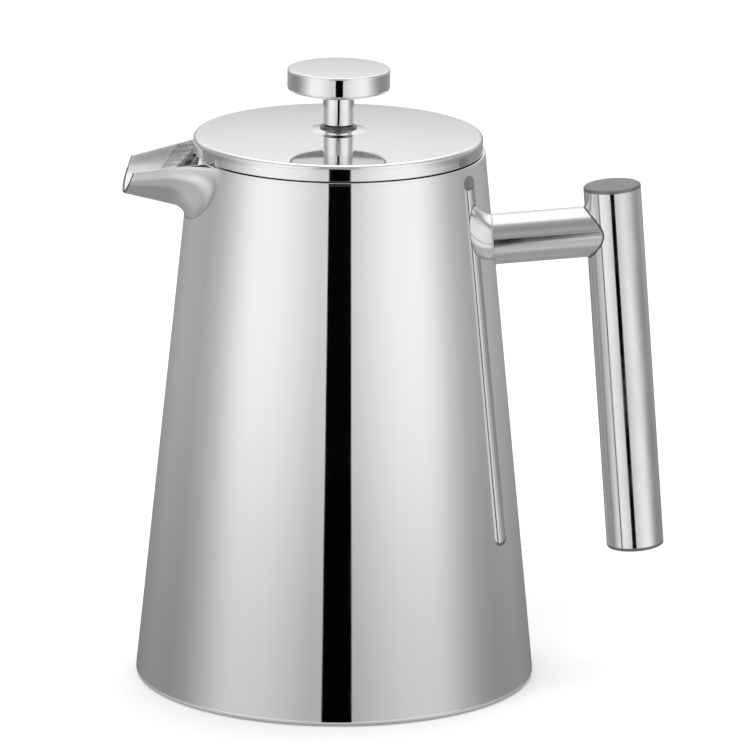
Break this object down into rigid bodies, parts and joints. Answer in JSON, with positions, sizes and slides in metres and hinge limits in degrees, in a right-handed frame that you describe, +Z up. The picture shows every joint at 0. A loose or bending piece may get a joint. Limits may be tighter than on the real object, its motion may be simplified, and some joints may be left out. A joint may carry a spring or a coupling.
{
  "type": "french press",
  "caption": "Double-walled steel french press: tapered pot with beak spout and T-shaped tube handle, lift-off lid and a plunger with a mesh filter head.",
  "frame": {"origin": "centre of the pot's base, on its axis, on the surface that it stands on", "axes": "+Z up along the pot's axis, +X from the pot towards the grip, -X towards the spout"},
  "size_m": [0.1769, 0.1296, 0.2014],
  "materials": {
    "polished_wall": "mirror-polished stainless steel",
    "polished_lid": "mirror-polished stainless steel",
    "polished_tube": "mirror-polished stainless steel",
    "polished_knob": "mirror-polished stainless steel",
    "polished_spout": "polished stainless steel",
    "satin_liner": "spun satin stainless steel",
    "weld_metal": "rough weld seam",
    "pressed_base": "turned satin stainless steel",
    "inner_sheet": "satin stainless sheet",
    "collar_steel": "turned and polished steel",
    "nut_steel": "machined steel",
    "ring_silicone": "translucent silicone rubber",
    "rod_steel": "ground steel rod",
    "plate_steel": "pressed stainless sheet",
    "spring_steel": "bright spring wire",
    "woven_mesh": "fine woven stainless wire"
  },
  "bodies": {
    "pot": {"outer_shell": "polished_wall", "inner_liner": "satin_liner", "base_plate": "pressed_base", "spout": "polished_spout", "pour_lip": "satin_liner", "spout_weld": "weld_metal", "handle_arm": "polished_tube", "handle_grip": "polished_tube", "grip_cap_top": "polished_tube", "grip_cap_bottom": "polished_tube", "handle_backing_plate": "pressed_base"},
    "lid_seat": {"lid_ring": "ring_silicone"},
    "lid": {"lid_top": "polished_lid", "lid_base": "inner_sheet", "lid_skirt": "inner_sheet", "rod_guide": "collar_steel", "guide_nut": "nut_steel"},
    "plunger": {"knob_disc": "polished_knob", "knob_stem": "polished_knob", "plunger_rod": "rod_steel", "head_nut": "nut_steel", "spiral_plate": "plate_steel", "edge_spring": "spring_steel", "filter_screen": "woven_mesh", "cross_plate": "plate_steel", "plate_hub": "nut_steel"}
  },
  "joints": [
    {"name": "lid_lift", "type": "slide", "parent": "pot", "child": "lid_seat", "axis": [0, 0, 1], "range_m": [0, 0.17]},
    {"name": "lid_turn", "type": "hinge", "parent": "lid_seat", "child": "lid", "pos_m": [0, 0, 0.175], "axis": [0, 0, 1], "continuous": true},
    {"name": "plunger_press", "type": "slide", "parent": "lid", "child": "plunger", "axis": [0, 0, 1], "range_m": [0, 0.136]}
  ]
}
